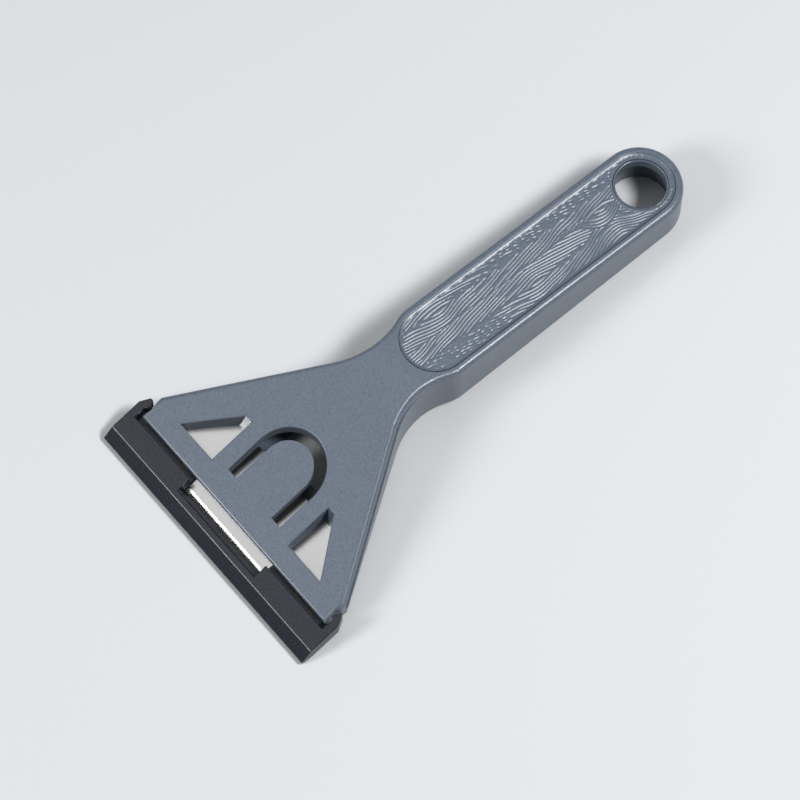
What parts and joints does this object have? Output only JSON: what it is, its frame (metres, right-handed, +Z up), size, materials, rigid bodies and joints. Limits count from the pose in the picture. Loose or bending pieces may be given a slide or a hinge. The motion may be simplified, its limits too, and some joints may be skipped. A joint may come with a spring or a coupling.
{
  "type": "scraper",
  "caption": "Flat hand scraper for hobs and glass: wide steel blade under a spring tongue, push-on blade guard, and a bent hollow handle with a hanging hole and an inlaid panel.",
  "frame": {"origin": "on the surface that the scraper lies on, at the middle of its length and width", "axes": "+X from the blade to the handle's end, +Z up from the surface, +Y across the width"},
  "size_m": [0.171, 0.0852, 0.0226],
  "materials": {
    "body_plastic": "fine grained blue-grey ABS",
    "panel_plastic": "engraved wood-grain lines, blue-grey ABS",
    "blade_steel": "rolled stainless steel with a ground bevel",
    "guard_plastic": "satin near-black polypropylene"
  },
  "bodies": {
    "body": {"upper_shell": "body_plastic", "lower_shell": "body_plastic", "handle_panel": "panel_plastic"},
    "tongue": {"release_tongue": "body_plastic"},
    "blade": {"blade": "blade_steel"},
    "guard": {"blade_guard": "guard_plastic"}
  },
  "joints": [
    {"name": "tongue_lift", "type": "hinge", "parent": "body", "child": "tongue", "pos_m": [-0.06673, 0, 0.00927], "axis": [0, -1, 0], "range_deg": [0, 8], "stiffness_Nm_per_rad": 0.6},
    {"name": "blade_slide", "type": "slide", "parent": "body", "child": "blade", "axis": [-0.9848, 0, -0.1736], "range_m": [0, 0.024]},
    {"name": "guard_slide", "type": "slide", "parent": "blade", "child": "guard", "axis": [-0.9848, 0, -0.1736], "range_m": [0, 0.012]}
  ]
}
